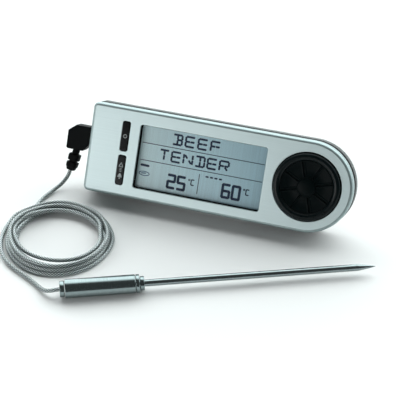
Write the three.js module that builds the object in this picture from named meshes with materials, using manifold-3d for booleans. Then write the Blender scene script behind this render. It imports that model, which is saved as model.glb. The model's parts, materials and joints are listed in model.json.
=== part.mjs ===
// A digital roasting thermometer: a leaning display unit with a steel front, a selector dial and a
// fold-out stand, and a steel probe on a braided cord that plugs into the unit's left end.
// Millimetres, +Z up. The origin is on the table, under the middle of the unit and the probe.
import * as THREE from 'three';
import { mergeVertices } from 'three/addons/utils/BufferGeometryUtils.js';
import Module from 'manifold-3d';

const wasm = await Module();
wasm.setup();

// ---------------------------------------------------------------- driving dimensions
// The unit's own axes: u runs along it, v up its face and w out of its face. The dial's axis is u = v = 0,
// and w = 0 is the steel face.
const lean = THREE.MathUtils.degToRad(30);
const gap = 0.3;                        // clearance between neighbouring pieces

const unitLength = 183;
const unitWidth = 61;
const unitDepth = 21;
const endRadius = unitWidth / 2;        // the right end is a half circle about the dial's axis
const leftEnd = endRadius - unitLength;
const leftCornerRadius = 3.5;

const coverDepth = 7;
const sheet = 0.8;
const coverBend = 2;
const coverHoleRadius = 23;

const flangeFront = -7.3;               // the frame's flange shows as a dark line behind the cover
const flangeBack = -8.7;
const flangeInset = 0.6;
const frameInset = 1.1;
const frameWall = 1.5;

const housingFront = -9;
const housingWall = 1.8;
const backWall = 2;
const rearBevel = 0.8;
const footCut = 1.4;                    // how deep the flat foot strip cuts into the rear bottom edge

const windowCentre = { u: -73.5, v: -0.9 };
const windowSize = { u: 88, v: 43.2 };
const buttonSize = { u: 5, v: 20 };
const buttonU = -127.5;
const powerButtonV = 11;
const signalButtonV = -12.2;
const buttonTravel = 0.5;

const dialRadius = 22.4;
const dialRecessRadius = 17.7;
const hubRadius = 6.3;
const dialTop = 2.6;
const petals = 8;

const boardFront = -6.5;
const boardBack = -7.5;
const jackAxis = { v: 5, w: -13 };
const jackBore = 2.05;

const cellRadius = 5.25;
const cellLength = 44.5;
const cellU = -64;
const cellV = [9.4, 20.4];
const cellW = -13.2;

const standAxis = { u: -61.5, v: -3, w: -19.3 };
const standWidth = 44;
const standReach = 27;                  // from the hinge axis to the table side of the rubber foot
const standThickness = 2.2;
const barrelRadius = 1.7;
const hingePinRadius = 0.8;
const recessFloor = -17.4;

const footPadThickness = 0.8;
const footPads = [{ name: 'foot_pad_left', u: -122 }, { name: 'foot_pad_right', u: -12 }];
const magnets = [{ name: 'magnet_left', u: -128 }, { name: 'magnet_right', u: -2 }];
const magnetRadius = 7;
const screws = [
  { name: 'rear_screw_1', u: -146, v: 23.5 }, { name: 'rear_screw_2', u: -146, v: -23.5 },
  { name: 'rear_screw_3', u: -24.4, v: 24 }, { name: 'rear_screw_4', u: -24.4, v: -24 },
];

const cordRadius = 1.4;
const coil = { x: -103.2, y: -19.3, outer: 35.7, inner: 25.7, height: 7.8 };
const handleRadius = 6.1;
const probeStart = new THREE.Vector3(-82.8, -69, handleRadius);   // middle of the rear cap's back face
const probeHeading = THREE.MathUtils.degToRad(23.3);

// Where the dial's axis meets the steel face, in the part's own frame.
const footStripDrop = endRadius * Math.cos(lean) + unitDepth * Math.sin(lean) - footCut;
const dialCentre = new THREE.Vector3(49.6, 40, footStripDrop + gap + footPadThickness);

// ---------------------------------------------------------------- materials
const finish = (color, roughness, metalness) =>
  new THREE.MeshStandardMaterial({ color, roughness, metalness });
const brushedSteel = finish(0xc9cfcf, 0.35, 0.9);
const polishedSteel = finish(0xb9bec0, 0.2, 1);
const braidSteel = finish(0xaab0b0, 0.45, 0.9);
const blackPlastic = finish(0x151719, 0.45, 0);
const glossBlack = finish(0x0b0c0d, 0.15, 0);
const greyPlastic = finish(0x9aa09f, 0.5, 0);
const blackRubber = finish(0x1b1c1d, 0.8, 0);
const clearLens = finish(0xdfe8ec, 0.05, 0);
const displayGlass = finish(0x9fb2bb, 0.2, 0);
const whitePlastic = finish(0xe4e6e4, 0.5, 0);
const boardGreen = finish(0x2c6b45, 0.5, 0);
const brass = finish(0xc7a756, 0.3, 1);
const cellWrap = finish(0x3d4a55, 0.4, 0.2);

// ---------------------------------------------------------------- geometry helpers
function toSolid(geometry) {
  const bare = geometry.clone();
  bare.deleteAttribute('normal');
  bare.deleteAttribute('uv');
  const merged = mergeVertices(bare, 1e-4);
  const index = merged.index.array;
  const kept = [];
  for (let i = 0; i < index.length; i += 3) {
    const [a, b, c] = [index[i], index[i + 1], index[i + 2]];
    if (a !== b && b !== c && c !== a) kept.push(a, b, c);
  }
  return new wasm.Manifold(new wasm.Mesh({
    numProp: 3,
    vertProperties: new Float32Array(merged.attributes.position.array),
    triVerts: new Uint32Array(kept),
  }));
}

function toGeometry(solid) {
  const mesh = solid.getMesh();
  const geometry = new THREE.BufferGeometry();
  geometry.setAttribute('position', new THREE.BufferAttribute(mesh.vertProperties, 3));
  geometry.setIndex(new THREE.BufferAttribute(mesh.triVerts, 1));
  return geometry;
}

const union = (first, ...rest) => rest.reduce((whole, part) => whole.add(part), first);
const cut = (first, ...rest) => rest.reduce((whole, part) => whole.subtract(part), first);

// A prism of a flat shape, from w = low to w = high.
function prism(shape, low, high, curveSegments = 4) {
  const geometry = new THREE.ExtrudeGeometry(shape, {
    depth: high - low, bevelEnabled: false, curveSegments,
  });
  return toSolid(geometry.translate(0, 0, low));
}

function box(u0, u1, v0, v1, w0, w1) {
  const geometry = new THREE.BoxGeometry(u1 - u0, v1 - v0, w1 - w0);
  return toSolid(geometry.translate((u0 + u1) / 2, (v0 + v1) / 2, (w0 + w1) / 2));
}

// A cylinder about w.
function rod(u, v, radius, low, high, sides = 16) {
  const geometry = new THREE.CylinderGeometry(radius, radius, high - low, sides);
  geometry.rotateX(Math.PI / 2).translate(u, v, (low + high) / 2);
  return toSolid(geometry);
}

// A cylinder about u.
function crossRod(v, w, radius, low, high, sides = 16) {
  const geometry = new THREE.CylinderGeometry(radius, radius, high - low, sides);
  geometry.rotateZ(Math.PI / 2).translate((low + high) / 2, v, w);
  return toSolid(geometry);
}

// A turned piece: profile points are [radius, height], the axis of turning becomes w.
function turned(profile, sides) {
  const points = profile.map(([radius, height]) => new THREE.Vector2(radius, height));
  return new THREE.LatheGeometry(points, sides).rotateX(Math.PI / 2);
}

function roundedRect(u, v, width, height, radius) {
  const [u0, u1, v0, v1] = [u - width / 2, u + width / 2, v - height / 2, v + height / 2];
  const shape = new THREE.Shape();
  shape.absarc(u1 - radius, v0 + radius, radius, -Math.PI / 2, 0, false);
  shape.absarc(u1 - radius, v1 - radius, radius, 0, Math.PI / 2, false);
  shape.absarc(u0 + radius, v1 - radius, radius, Math.PI / 2, Math.PI, false);
  shape.absarc(u0 + radius, v0 + radius, radius, Math.PI, 1.5 * Math.PI, false);
  return shape;
}

// The unit's outline, drawn in from its outside by inset: a half circle, and a straight end with
// small corners.
const endSteps = 28;
const cornerSteps = 3;
function outline(inset) {
  const arc = (u, v, radius, from, to, steps) => {
    const points = [];
    for (let i = 0; i <= steps; i += 1) {
      const angle = from + ((to - from) * i) / steps;
      points.push(new THREE.Vector2(u + radius * Math.cos(angle), v + radius * Math.sin(angle)));
    }
    return points;
  };
  const corner = Math.max(leftCornerRadius - inset, 0.5);
  const cornerU = leftEnd + inset + corner;
  const cornerV = endRadius - inset - corner;
  return [
    ...arc(0, 0, endRadius - inset, -Math.PI / 2, Math.PI / 2, endSteps),
    ...arc(cornerU, cornerV, corner, Math.PI / 2, Math.PI, cornerSteps),
    ...arc(cornerU, -cornerV, corner, Math.PI, 1.5 * Math.PI, cornerSteps),
  ];
}

// A solid stacked from outlines: levels are [inset, w], from the back to the front.
function stacked(levels) {
  const rings = levels.map(([inset]) => outline(inset));
  const count = rings[0].length;
  const positions = [];
  rings.forEach((ring, level) => ring.forEach((p) => positions.push(p.x, p.y, levels[level][1])));
  const index = [];
  for (let level = 0; level < rings.length - 1; level += 1) {
    for (let i = 0; i < count; i += 1) {
      const a = level * count + i;
      const b = level * count + ((i + 1) % count);
      index.push(a, b, b + count, a, b + count, a + count);
    }
  }
  const top = (rings.length - 1) * count;
  for (const [a, b, c] of THREE.ShapeUtils.triangulateShape(rings[0], [])) index.push(c, b, a);
  for (const [a, b, c] of THREE.ShapeUtils.triangulateShape(rings.at(-1), [])) {
    index.push(top + a, top + b, top + c);
  }
  const geometry = new THREE.BufferGeometry();
  geometry.setAttribute('position', new THREE.Float32BufferAttribute(positions, 3));
  geometry.setIndex(index);
  return toSolid(geometry);
}

// ---------------------------------------------------------------- groups
const model = new THREE.Group();
const unit = new THREE.Group();
unit.position.copy(dialCentre);
unit.rotation.x = Math.PI / 2 - lean;
model.add(unit);

const probe = new THREE.Group();        // its own x axis runs from the rear cap to the point
probe.position.copy(probeStart);
probe.rotation.z = probeHeading;
model.add(probe);

function add(parent, name, shape, material) {
  const geometry = shape instanceof THREE.BufferGeometry ? shape : toGeometry(shape);
  const mesh = new THREE.Mesh(geometry, material);
  mesh.name = name;
  parent.add(mesh);
}

// ---------------------------------------------------------------- casing
function frontCover() {
  const bent = [[0.6, -0.26], [0.15, -1.1]];
  const outside = stacked([[0, -coverDepth], [0, -coverBend], [bent[1][0], bent[1][1]],
    [bent[0][0], bent[0][1]], [coverBend * 0.8, 0]]);
  const inside = stacked([[sheet, -coverDepth - 1], [sheet, -coverBend], [coverBend * 0.8, -sheet]]);
  const window = roundedRect(windowCentre.u, windowCentre.v, windowSize.u, windowSize.v, 1.5);
  const slot = (v) => prism(
    roundedRect(buttonU, v, buttonSize.u + 2 * gap, buttonSize.v + 2 * gap, 1.5), -2, 1);
  return cut(outside, inside, prism(window, -2, 1), slot(powerButtonV), slot(signalButtonV),
    rod(0, 0, coverHoleRadius, -2, 1, 40));
}
add(unit, 'front_cover', frontCover(), brushedSteel);

// The chassis behind the cover: a front plate with openings, a dark well round the display, a dish for the
// dial, a side wall, a flange and four screw posts.
const lensMargin = 1;
const lensBack = -2;
const lcdFront = -4.5;
const wellBorder = 0.35;                // the dark border that shows inside the window's edge
const dishRadius = 24;
const dishFloor = -3.4;
function innerFrame() {
  const wall = stacked([[frameInset, flangeBack], [frameInset, -2.2],
    [coverBend * 0.8 + gap, -sheet - gap]]);
  const flange = cut(
    stacked([[flangeInset, flangeBack], [flangeInset, flangeFront]]),
    stacked([[frameInset + frameWall, flangeBack - 1], [frameInset + frameWall, flangeFront + 0.5]]));
  const hollow = stacked([[frameInset + frameWall, flangeBack - 1], [frameInset + frameWall, -2.1]]);
  const opening = (shape) => prism(shape, -3, 0);
  const posts = screws.map(({ u, v }) => cut(
    rod(u, v, 2.4, flangeBack, -2, 12), rod(u, v, 1.35, flangeBack - 1, -3.2, 12)));
  const windowShape = (margin) => roundedRect(windowCentre.u, windowCentre.v,
    windowSize.u + 2 * margin, windowSize.v + 2 * margin, 1);
  const wellWall = prism(windowShape(2.4), lcdFront + gap, -1.9);
  const well = prism(windowShape(-wellBorder), -6, 0);
  const lensPocket = prism(windowShape(lensMargin + gap), lensBack - gap, 0);
  const buttonHole = (v) => opening(roundedRect(buttonU, v, 7.2, 22, 1.4));
  const dish = rod(0, 0, dishRadius + 1.4, dishFloor - 0.8, -1.2, 40);
  return cut(union(cut(wall, hollow), flange, wellWall, dish, ...posts),
    well, lensPocket, buttonHole(powerButtonV), buttonHole(signalButtonV),
    rod(0, 0, dishRadius, dishFloor, 0, 40), rod(0, 0, 10, -6, 0, 24));
}
add(unit, 'inner_frame', innerFrame(), blackPlastic);

const doorSize = { u: 54, v: 25 };
const doorV = (cellV[0] + cellV[1]) / 2;
const recess = { u: standWidth / 2 + 0.7, top: standAxis.v + barrelRadius + 0.4 };

// The tub behind the frame, with the cell bay, the stand's recess, magnet pockets, screw bosses and
// jack hole.
function rearHousing() {
  const outside = stacked([[rearBevel * 2, -unitDepth], [rearBevel * 0.5, -unitDepth + 0.6],
    [0, -unitDepth + 2 * rearBevel], [0, housingFront]]);
  const inside = stacked([[housingWall, -unitDepth + backWall], [housingWall, housingFront + 1]]);
  const bayWall = box(cellU - doorSize.u / 2 - 1.5, cellU + doorSize.u / 2 + 1.5,
    doorV - doorSize.v / 2 - 1.5, doorV + doorSize.v / 2 + 1.5, -unitDepth + 1, housingFront);
  const bay = box(cellU - doorSize.u / 2 - gap, cellU + doorSize.u / 2 + gap,
    doorV - doorSize.v / 2 - gap, doorV + doorSize.v / 2 + gap, -unitDepth - 1, 0);
  const [left, right] = [standAxis.u - recess.u, standAxis.u + recess.u];
  const recessRoof = box(left - 1.5, right + 1.5, -endRadius + 1, recess.top + 1.2,
    -unitDepth + 1, recessFloor + 1.5);
  const recessHollow = box(left, right, -endRadius - 1, recess.top, -unitDepth - 1, recessFloor);
  const ears = [left - 0.5, right - 2.2].map((u) => box(u, u + 2.7,
    standAxis.v - barrelRadius, recess.top + 0.5, -unitDepth + 0.2, recessFloor + 0.5));
  const pinHole = crossRod(standAxis.v, standAxis.w, hingePinRadius + gap, left - 0.2, right + 0.2, 12);
  const bosses = screws.map(({ u, v }) => rod(u, v, 2.9, -unitDepth + 1, housingFront - 0.1, 14));
  const bores = screws.map(({ u, v }) => union(rod(u, v, 1.4, -unitDepth - 1, housingFront + 1, 12),
    rod(u, v, 2.5, -unitDepth - 1, -unitDepth + 2, 14)));
  const magnetBosses = magnets.map(({ u }) => rod(u, 0, magnetRadius + 1.5, -unitDepth + 1, -17, 24));
  const pockets = magnets.map(({ u }) => rod(u, 0, magnetRadius + gap, -unitDepth - 1, -18.5, 24));
  const soundHoles = [0, 1, 2, 3, 4].map((i) => rod(-28 + 3.5 * (i % 3) + 1.75 * Math.floor(i / 3),
    -12 - 3 * Math.floor(i / 3), 0.8, -unitDepth - 1, -unitDepth + 3, 8));
  const jackHole = crossRod(jackAxis.v, jackAxis.w, 3.1, leftEnd - 1, leftEnd + 3);
  const solid = cut(
    union(cut(outside, inside), bayWall, recessRoof, ...bosses, ...magnetBosses),
    bay, recessHollow, ...bores, ...pockets, ...soundHoles, jackHole);
  return union(solid, ...ears).subtract(pinHole).subtract(footCutter());
}

// Everything below the flat strip that the unit stands on, once it leans.
function footCutter() {
  const slab = new THREE.BoxGeometry(400, 100, 40);
  slab.translate(-60, 0, -20 - footStripDrop).rotateX(lean - Math.PI / 2);
  return toSolid(slab);
}
add(unit, 'rear_housing', rearHousing(), greyPlastic);

// ---------------------------------------------------------------- display
const glassSize = { u: windowSize.u + 2 * lensMargin, v: windowSize.v + 2 * lensMargin };
const centred = (width, height, w0, w1) => box(windowCentre.u - width / 2, windowCentre.u + width / 2,
  windowCentre.v - height / 2, windowCentre.v + height / 2, w0, w1);
add(unit, 'window_lens', centred(glassSize.u, glassSize.v, lensBack, -sheet - gap), clearLens);
const lcdBack = lcdFront - 0.9;
const backlightFront = lcdBack - gap;
const backlightBack = boardFront + gap;
add(unit, 'lcd_panel', centred(glassSize.u, glassSize.v, lcdBack, lcdFront), displayGlass);
add(unit, 'lcd_backlight', centred(glassSize.u - 4, glassSize.v - 8, backlightBack, backlightFront),
  whitePlastic);
for (const [name, side] of [['zebra_strip_top', 1], ['zebra_strip_bottom', -1]]) {
  const v = windowCentre.v + side * (glassSize.v / 2 - 1.6);
  add(unit, name, box(windowCentre.u - 40, windowCentre.u + 40, v - 1, v + 1,
    backlightBack, backlightFront), blackRubber);
}

// ---------------------------------------------------------------- electronics
function mainBoard() {
  const inset = frameInset + frameWall + 0.6;
  const body = stacked([[inset, boardBack], [inset, boardFront]]);
  const clearance = screws.map(({ u, v }) => rod(u, v, 3.3, boardBack - 1, boardFront + 1, 12));
  return cut(body, ...clearance);
}
add(unit, 'main_board', mainBoard(), boardGreen);
add(unit, 'controller_chip', box(-26, -16, -6, 4, boardBack - 1.8, boardBack - gap), blackPlastic);
add(unit, 'buzzer', rod(-25, -13.5, 6, -17, boardBack - gap, 20), blackPlastic);

for (const [name, v] of [['power', powerButtonV], ['signal', signalButtonV]]) {
  const cap = prism(roundedRect(buttonU, v, buttonSize.u, buttonSize.v, 1.2), -1.4, 0.35);
  const flange = prism(roundedRect(buttonU, v, 6.4, 21.3, 1), -2.6, -1.3);
  add(unit, `${name}_button`, cap.add(flange), glossBlack);
  add(unit, `${name}_switch`, box(buttonU - 3, buttonU + 3, v - 3, v + 3, boardFront + gap, -4.7),
    blackPlastic);
}
add(unit, 'button_pad', box(buttonU - 4.5, buttonU + 4.5, -25, 23.8, -4.4, -2.6 - buttonTravel - gap),
  blackRubber);

function jackSocket() {
  const body = box(leftEnd + housingWall + gap, leftEnd + 17, jackAxis.v - 4, jackAxis.v + 4,
    -16.7, flangeBack - gap);
  const sleeve = crossRod(jackAxis.v, jackAxis.w, 2.8, leftEnd + 0.4, leftEnd + 4);
  return body.add(sleeve).subtract(crossRod(jackAxis.v, jackAxis.w, jackBore, leftEnd - 1, leftEnd + 15.8));
}
add(unit, 'jack_socket', jackSocket(), blackPlastic);

// ---------------------------------------------------------------- cells and their bay
const bayLeft = cellU - doorSize.u / 2;
const bayRight = cellU + doorSize.u / 2;
const nubLength = 1;
cellV.forEach((v, i) => {
  const turn = i === 0 ? 1 : -1;        // the second cell lies the other way round
  const along = (a, b, radius) => crossRod(v, cellW, radius,
    cellU + Math.min(turn * a, turn * b), cellU + Math.max(turn * a, turn * b));
  const half = cellLength / 2;
  const can = along(-half, half - nubLength, cellRadius);
  add(unit, `cell_${i + 1}`, can.add(along(0, half, 1.9)), cellWrap);
  const springStart = -doorSize.u / 2 + 1.1;
  const springEnd = -half - gap;
  const spring = new THREE.CylinderGeometry(1.6, 3.2, springEnd - springStart, 12);
  spring.rotateZ((-turn * Math.PI) / 2).translate(cellU + (turn * (springStart + springEnd)) / 2, v, cellW);
  add(unit, `cell_spring_${i + 1}`, toSolid(spring), polishedSteel);
});
for (const [name, u] of [['cell_contact_left', bayLeft + 0.3], ['cell_contact_right', bayRight - 0.8]]) {
  add(unit, name, box(u, u + 0.5, doorV - 9, doorV + 9, -17.5, -9), polishedSteel);
}

function batteryDoor() {
  const panel = prism(roundedRect(cellU, doorV, doorSize.u, doorSize.v, 1), -unitDepth + 0.1, -19);
  const grips = [0, 1, 2, 3].map((i) => box(bayRight - 9 + 2 * i, bayRight - 8 + 2 * i,
    doorV - 6, doorV + 6, -unitDepth, -unitDepth + 0.6));
  return cut(panel, ...grips);
}
add(unit, 'battery_door', batteryDoor(), greyPlastic);

// ---------------------------------------------------------------- selector dial
// A turned body with a raised glossy rim, an insert of eight dished sectors, and a domed hub.
const bodyBack = -1.4;
const insertFloor = 0.1;
const dialProfile = [[0, bodyBack], [dialRadius - 0.6, bodyBack], [dialRadius, bodyBack + 0.6],
  [dialRadius, 0.8], [dialRadius - 0.5, 1.8], [dialRadius - 1.6, dialTop - 0.2], [dialRadius - 2.6, dialTop],
  [dialRecessRadius + 0.9, dialTop - 0.25], [dialRecessRadius + 0.2, dialTop - 0.9],
  [dialRecessRadius, insertFloor], [0, insertFloor]];
const shaftRadius = 3;
function dialBody() {
  const boss = union(toSolid(turned(dialProfile, 40)), rod(0, 0, 5, -3.9, bodyBack + 0.2, 16));
  return boss.subtract(rod(0, 0, shaftRadius + gap, -6, -0.6, 16));
}
add(unit, 'dial_body', dialBody(), glossBlack);

function dialInsert() {
  const [outer, inner] = [dialRecessRadius - gap, hubRadius + gap];
  const floor = insertFloor + gap;
  const disc = toSolid(turned([[inner, floor], [outer, floor], [outer, 1.5], [outer - 2, 1.25],
    [(outer + inner) / 2, 1.0], [inner, 1.4], [inner, floor]], 40));
  const grooves = [];
  for (let i = 0; i < petals; i += 1) {
    const groove = new THREE.BoxGeometry(outer, 0.9, 2);
    groove.translate(outer / 2 + inner - 1.5, 0, 1.8).rotateZ(((i + 0.5) * 2 * Math.PI) / petals - 0.1);
    grooves.push(toSolid(groove));
  }
  return cut(disc, ...grooves);
}
add(unit, 'dial_insert', dialInsert(), blackRubber);
add(unit, 'dial_hub', toSolid(turned([[0, insertFloor + gap], [hubRadius, insertFloor + gap],
  [hubRadius, 1.3], [hubRadius - 0.8, 1.9], [hubRadius * 0.55, 2.35], [0, 2.5]], 24)), glossBlack);
const [glideBack, glideFront] = [dishFloor + gap, dishFloor + 1];
add(unit, 'dial_glide_ring', toSolid(turned([[16, glideBack], [19, glideBack], [19, glideFront],
  [16, glideFront], [16, glideBack]], 28)), whitePlastic);
add(unit, 'encoder_shaft', rod(0, 0, shaftRadius, -5.2, -0.9, 14), whitePlastic);
const encoder = cut(box(-6.5, 6.5, -6.5, 6.5, boardFront + gap, -4.9),
  rod(0, 0, shaftRadius + gap, boardFront - 1, -4, 16));
add(unit, 'encoder_body', encoder, polishedSteel);

// ---------------------------------------------------------------- stand, magnets, feet and screws
const hingeHeight = dialCentre.z + standAxis.v * Math.cos(lean) + standAxis.w * Math.sin(lean);
const standOpen = lean + Math.acos(hingeHeight / standReach);
const stand = new THREE.Group();        // folded flat when its rotation is nought
stand.position.set(standAxis.u, standAxis.v, standAxis.w);
stand.rotation.x = standOpen;
unit.add(stand);

// A slab from the table up to the given height, in the stand's own axes.
function tableSlab(bottom, top) {
  const slab = new THREE.BoxGeometry(200, 80, top - bottom);
  slab.translate(0, 0, (top + bottom) / 2 - hingeHeight).rotateX(lean - Math.PI / 2 - standOpen);
  return toSolid(slab);
}
function standBlade() {
  const blade = box(-standWidth / 2, standWidth / 2, -standReach - 3, 0,
    -standThickness / 2, standThickness / 2);
  const fingerDent = box(-9, 9, -standReach + 4, -standReach + 10,
    -standThickness, -standThickness / 2 + 0.7);
  return union(blade, crossRod(0, 0, barrelRadius, -standWidth / 2 + 2.7, standWidth / 2 - 2.7, 14))
    .subtract(fingerDent)
    .subtract(box(-standWidth / 2 - 1, -standWidth / 2 + 2.7, -2.4, 9, -5, 5))
    .subtract(box(standWidth / 2 - 2.7, standWidth / 2 + 1, -2.4, 9, -5, 5))
    .subtract(crossRod(0, 0, hingePinRadius + gap, -30, 30, 14));
}
const footThickness = 1;
add(stand, 'stand', cut(standBlade(), tableSlab(-20, footThickness + gap)), greyPlastic);
const footBlock = box(-standWidth / 2 + 3, standWidth / 2 - 3, -standReach - 3, -standReach + 3,
  -standThickness / 2, standThickness / 2);
add(stand, 'stand_foot', footBlock.intersect(tableSlab(0, footThickness)), blackRubber);
add(unit, 'stand_pin', crossRod(standAxis.v, standAxis.w, hingePinRadius,
  standAxis.u - recess.u, standAxis.u + recess.u, 12), polishedSteel);

for (const { name, u } of magnets) {
  add(unit, name, rod(u, 0, magnetRadius, -unitDepth - 0.4, -18.8, 24), polishedSteel);
}
// The pads lie under the foot strip, so they are made level and turned into the unit's axes.
const padOffset = { y: -endRadius * Math.sin(lean) + unitDepth * Math.cos(lean) - 0.8, depth: 2.6 };
for (const { name, u } of footPads) {
  const pad = new THREE.BoxGeometry(22, padOffset.depth, footPadThickness);
  pad.translate(u, padOffset.y, footPadThickness / 2 - dialCentre.z).rotateX(lean - Math.PI / 2);
  add(unit, name, toSolid(pad), blackRubber);
}
for (const { name, u, v } of screws) {
  const head = rod(u, v, 2.1, -unitDepth + 0.3, -unitDepth + 1.7, 12);
  const cross = union(box(u - 1.4, u + 1.4, v - 0.3, v + 0.3, -unitDepth, -unitDepth + 0.8),
    box(u - 0.3, u + 0.3, v - 1.4, v + 1.4, -unitDepth, -unitDepth + 0.8));
  add(unit, name, cut(head.add(rod(u, v, 1.05, -unitDepth + 1.6, -3.6, 10)), cross), polishedSteel);
}

// ---------------------------------------------------------------- probe plug
// The plug's body lies along the unit's end with its pin along u; its cord leaves downwards.
const plugRight = leftEnd - 1;
const plugLeft = plugRight - 17.6;
const plugTop = 11.4;
const plugBottom = -5.8;
const plugHalfThickness = 5;
const pinRadius = 1.75;
const reliefTop = { u: plugRight - 11.1, v: plugBottom };
const reliefLean = THREE.MathUtils.degToRad(9.5);
const reliefLength = 15.2;

function plugBody() {
  const side = new THREE.Shape();
  side.moveTo(plugLeft + 5.4, plugTop);
  side.lineTo(plugRight, plugTop);
  side.lineTo(plugRight, plugBottom + 4.5);
  side.lineTo(plugRight - 2.5, plugBottom);
  side.lineTo(plugLeft + 1, plugBottom);
  side.lineTo(plugLeft, plugBottom + 1);
  side.lineTo(plugLeft, plugTop - 4.4);
  const bevel = 0.8;
  const geometry = new THREE.ExtrudeGeometry(side, {
    depth: 2 * (plugHalfThickness - bevel), bevelThickness: bevel, bevelSize: bevel,
    bevelOffset: -bevel, bevelSegments: 1,
  });
  geometry.translate(0, 0, jackAxis.w - plugHalfThickness + bevel);
  const pinBore = crossRod(jackAxis.v, jackAxis.w, pinRadius + gap, plugRight - 4, plugRight + 1);
  return toSolid(geometry).subtract(pinBore);
}
add(unit, 'plug_body', plugBody(), blackPlastic);
const pinStart = plugRight - 3.6;
const pinPieces = [['plug_sleeve', 0, 12, pinRadius], ['plug_insulator', 12.3, 13.1, 1.6],
  ['plug_tip', 13.4, 18.2, pinRadius]];
for (const [name, from, to, radius] of pinPieces) {
  let piece = crossRod(jackAxis.v, jackAxis.w, radius, pinStart + from, pinStart + to);
  if (name === 'plug_tip') {
    const point = new THREE.CylinderGeometry(0.5, radius, 1.4, 16);
    point.rotateZ(-Math.PI / 2).translate(pinStart + to + 0.69, jackAxis.v, jackAxis.w);
    piece = piece.add(toSolid(point));
  }
  add(unit, name, piece, name === 'plug_insulator' ? blackPlastic : brass);
}

// Two stout ribs on a thin neck, leaning a little away from the unit; the cord leaves its lower end.
function strainRelief() {
  const neck = 2.9;
  const rib = 4.4;
  const neckStart = gap + neck * Math.sin(reliefLean);
  const profile = [[0, -reliefLength], [2.2, -reliefLength], [rib - 0.5, -13.9], [rib - 0.2, -9.4],
    [neck, -9], [neck, -8.5], [rib - 0.1, -8.1], [rib, -3.8], [neck, -3.4], [neck, -neckStart],
    [0, -neckStart]];
  const points = profile.map(([radius, height]) => new THREE.Vector2(radius, height));
  const body = new THREE.LatheGeometry(points, 16).rotateZ(-reliefLean);
  return body.translate(reliefTop.u, reliefTop.v, jackAxis.w);
}
add(unit, 'strain_relief', toSolid(strainRelief()), blackRubber);

// ---------------------------------------------------------------- cord
// The cord leaves the strain relief, drops to the table, runs into the coil, and leaves the coil's left
// side for the probe. The free stretches are lists of points chosen by hand.
function cordTube(points, steps) {
  const path = new THREE.CatmullRomCurve3(points.map(([x, y, z]) => new THREE.Vector3(x, y, z)));
  const section = new THREE.Shape();
  for (let i = 0; i < 8; i += 1) {
    const angle = ((i + 0.5) * Math.PI) / 4;
    const place = [cordRadius * Math.cos(angle), cordRadius * Math.sin(angle)];
    if (i === 0) section.moveTo(...place);
    else section.lineTo(...place);
  }
  return new THREE.ExtrudeGeometry(section, { extrudePath: path, steps, bevelEnabled: false });
}
const plugToCoil = [[-117.8, 40.7, 11.8], [-118.3, 39.3, 9.5], [-119.5, 37.5, 7.2], [-121.2, 34.9, 4.6],
  [-123.4, 31.8, 2.9], [-125.6, 28.2, 2.0], [-127.6, 23.8, 1.6], [-129.4, 18.6, 1.5], [-130.3, 13.4, 1.5],
  [-130.6, 9.2, 1.5]];
add(model, 'cord_to_coil', toSolid(cordTube(plugToCoil, 9)), braidSteel);

const coilProfile = [[coil.inner, 1.6], [coil.inner + 1.6, 0], [coil.outer - 1.6, 0], [coil.outer, 1.6],
  [coil.outer, coil.height - 1.8], [coil.outer - 1.8, coil.height], [coil.inner + 1.8, coil.height],
  [coil.inner, coil.height - 1.8], [coil.inner, 1.6]];
add(model, 'cord_coil', toSolid(turned(coilProfile, 40).translate(coil.x, coil.y, 0)), braidSteel);

const coilToProbe = [[-138.4, -5.4, 4.6], [-140.6, -12.5, 3.6], [-141.2, -20.5, 2.6], [-140.3, -28.5, 1.9],
  [-137.6, -36.3, 1.5], [-133.4, -43.6, 1.4], [-127.8, -49.6, 1.4], [-120.4, -54.6, 1.4], [-112.6, -58.4, 1.4],
  [-105.8, -61.8, 1.4], [-99.8, -65.4, 1.5], [-95.0, -68.5, 2.3], [-90.8, -70.4, 3.8], [-87.2, -70.6, 5.3],
  [-83.1, -69.1, 6.1]];
add(model, 'cord_to_probe', toSolid(cordTube(coilToProbe, 18)), braidSteel);

// ---------------------------------------------------------------- probe
// Turned pieces along the probe's own x axis: profile points are [distance, radius].
function alongProbe(profile, sides) {
  const points = profile.map(([distance, radius]) => new THREE.Vector2(radius, distance));
  return toSolid(new THREE.LatheGeometry(points, sides).rotateZ(-Math.PI / 2));
}
const cordHole = cordRadius + gap;
add(probe, 'probe_rear_cap', alongProbe([[0, cordHole], [0, 4.8], [0.5, 5.2], [3, 5.2], [3, cordHole],
  [0, cordHole]], 20), polishedSteel);
add(probe, 'probe_handle', alongProbe([[3.3, 4.9], [3.3, 5.65], [3.9, handleRadius], [47.4, handleRadius],
  [48, 5.8], [48, 4.9], [3.3, 4.9]], 24), brushedSteel);
add(probe, 'probe_ring', alongProbe([[48.3, 2.7], [48.3, 5.8], [48.7, 6], [50.2, 6], [50.6, 5.8],
  [50.6, 2.7], [48.3, 2.7]], 24), polishedSteel);
add(probe, 'probe_collar', alongProbe([[50.9, 2.6], [50.9, 4.6], [53.2, 4.6], [53.7, 4.1], [53.7, 2.6],
  [50.9, 2.6]], 20), polishedSteel);
const needleEnd = 203.2;
const coneStart = needleEnd - 11.5;
const needle = 2.25;
const needleBore = 1.7;
add(probe, 'probe_needle', alongProbe([[46, needleBore], [46, needle], [coneStart, needle],
  [needleEnd - 4, 1], [needleEnd, 0], [coneStart - 1, 0], [coneStart - 2, needleBore],
  [46, needleBore]], 16), brushedSteel);
add(probe, 'temperature_sensor', alongProbe([[170, 0], [170, 0.9], [171, 1.2], [184, 1.2], [185, 0.9],
  [185, 0]], 10), glossBlack);

export default model;
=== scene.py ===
import json
import math

import bmesh
import bpy
import numpy as np
from mathutils import Matrix, Vector
from mathutils.geometry import tessellate_polygon


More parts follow.
